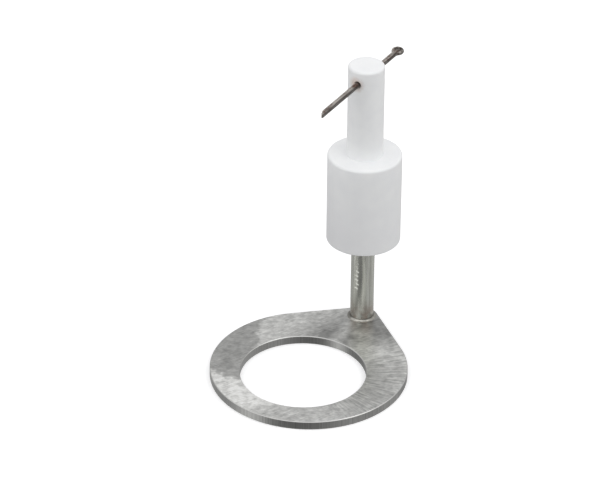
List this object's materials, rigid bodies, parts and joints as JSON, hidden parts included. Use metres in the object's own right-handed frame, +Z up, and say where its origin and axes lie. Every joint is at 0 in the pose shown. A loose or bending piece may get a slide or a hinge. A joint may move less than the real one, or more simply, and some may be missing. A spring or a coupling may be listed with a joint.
{
  "type": "stand-off insulator on a lobed ring plate",
  "caption": "Flat ring plate with a rounded lobe that carries a round metal post, a white shouldered insulator above it and a loose split pin through the insulator's neck.",
  "frame": {"origin": "centre of the large bore, on the plate's underside", "axes": "+Z up along the post and insulator, +Y from the bore's centre towards the lobe and the post, +X to the side of the split pin's longer leg"},
  "size_m": [0.0762, 0.1067, 0.1157],
  "materials": {
    "plate_steel": "ground, with short crossing scratches",
    "post_steel": "turned, bright, with plier marks",
    "weld_steel": "smooth weld, slightly tinted",
    "insulator_white": "smooth unglazed ceramic, matt white",
    "pin_steel": "dull drawn wire with a trace of rust"
  },
  "bodies": {
    "stand_off": {"ring_plate": "plate_steel", "post": "post_steel", "post_weld": "weld_steel", "insulator": "insulator_white"},
    "split_pin": {"split_pin": "pin_steel"}
  },
  "joints": [
    {"name": "split_pin_draw", "type": "slide", "parent": "stand_off", "child": "split_pin", "axis": [0, 1, 0], "range_m": [-0.0145, 0.045]}
  ]
}
